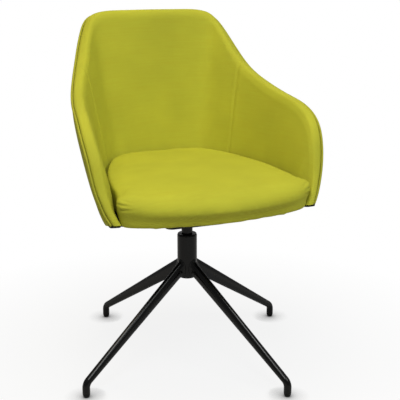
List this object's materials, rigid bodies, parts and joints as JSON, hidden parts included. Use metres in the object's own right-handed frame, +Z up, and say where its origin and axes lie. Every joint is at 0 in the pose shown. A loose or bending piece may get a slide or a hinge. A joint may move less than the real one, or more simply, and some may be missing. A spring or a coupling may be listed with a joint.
{
  "type": "conference chair",
  "caption": "Upholstered tub chair for a meeting table: one wrap-around wall forms back and arms, over a padded seat that swivels freely on a black base with splayed legs.",
  "frame": {"origin": "on the floor, on the swivel axis in the middle of the four feet", "axes": "+Z up, the sitter faces -Y, and the sitter's left arm is at +X"},
  "size_m": [0.6088, 0.6088, 0.8407],
  "materials": {
    "black_coat": "satin powder coat",
    "black_plastic": "matt moulded",
    "bare_steel": "bright",
    "plated_steel": "zinc plated",
    "board_wood": "black-stained plywood",
    "core_plastic": "moulded",
    "cover_fabric": "woven",
    "piping_fabric": "woven"
  },
  "bodies": {
    "base": {"hub": "black_coat", "hub_cap": "black_plastic", "leg_1": "black_coat", "leg_2": "black_coat", "leg_3": "black_coat", "leg_4": "black_coat", "glide_1": "black_plastic", "glide_2": "black_plastic", "glide_3": "black_plastic", "glide_4": "black_plastic", "upper_bush": "black_plastic", "lower_bush": "black_plastic", "bearing_lower_race": "bare_steel"},
    "bearing": {"bearing_cage": "black_plastic", "bearing_balls": "bare_steel"},
    "seat": {"bearing_upper_race": "bare_steel", "spindle": "black_coat", "retaining_washer": "plated_steel", "retaining_ring": "plated_steel", "seat_pan": "black_coat", "pan_stiffener": "black_coat", "spindle_washer": "plated_steel", "spindle_nut": "plated_steel", "pan_bolts": "plated_steel", "pan_washers": "plated_steel", "tee_nuts": "plated_steel", "seat_board": "board_wood", "shell_core": "core_plastic", "shell_screws": "plated_steel", "back_cover": "cover_fabric", "left_arm_cover": "cover_fabric", "right_arm_cover": "cover_fabric", "back_pad": "cover_fabric", "left_arm_pad": "cover_fabric", "right_arm_pad": "cover_fabric", "rim_piping": "piping_fabric", "seat_cushion": "cover_fabric"}
  },
  "joints": [
    {"name": "swivel", "type": "hinge", "parent": "base", "child": "seat", "pos_m": [0, 0, 0.2435], "axis": [0, 0, 1], "continuous": true},
    {"name": "bearing_turn", "type": "hinge", "parent": "base", "child": "bearing", "pos_m": [0, 0, 0.23875], "axis": [0, 0, 1], "continuous": true}
  ],
  "couplings": [
    {"joint": "bearing_turn", "follows": "swivel", "ratio": 0.5}
  ]
}
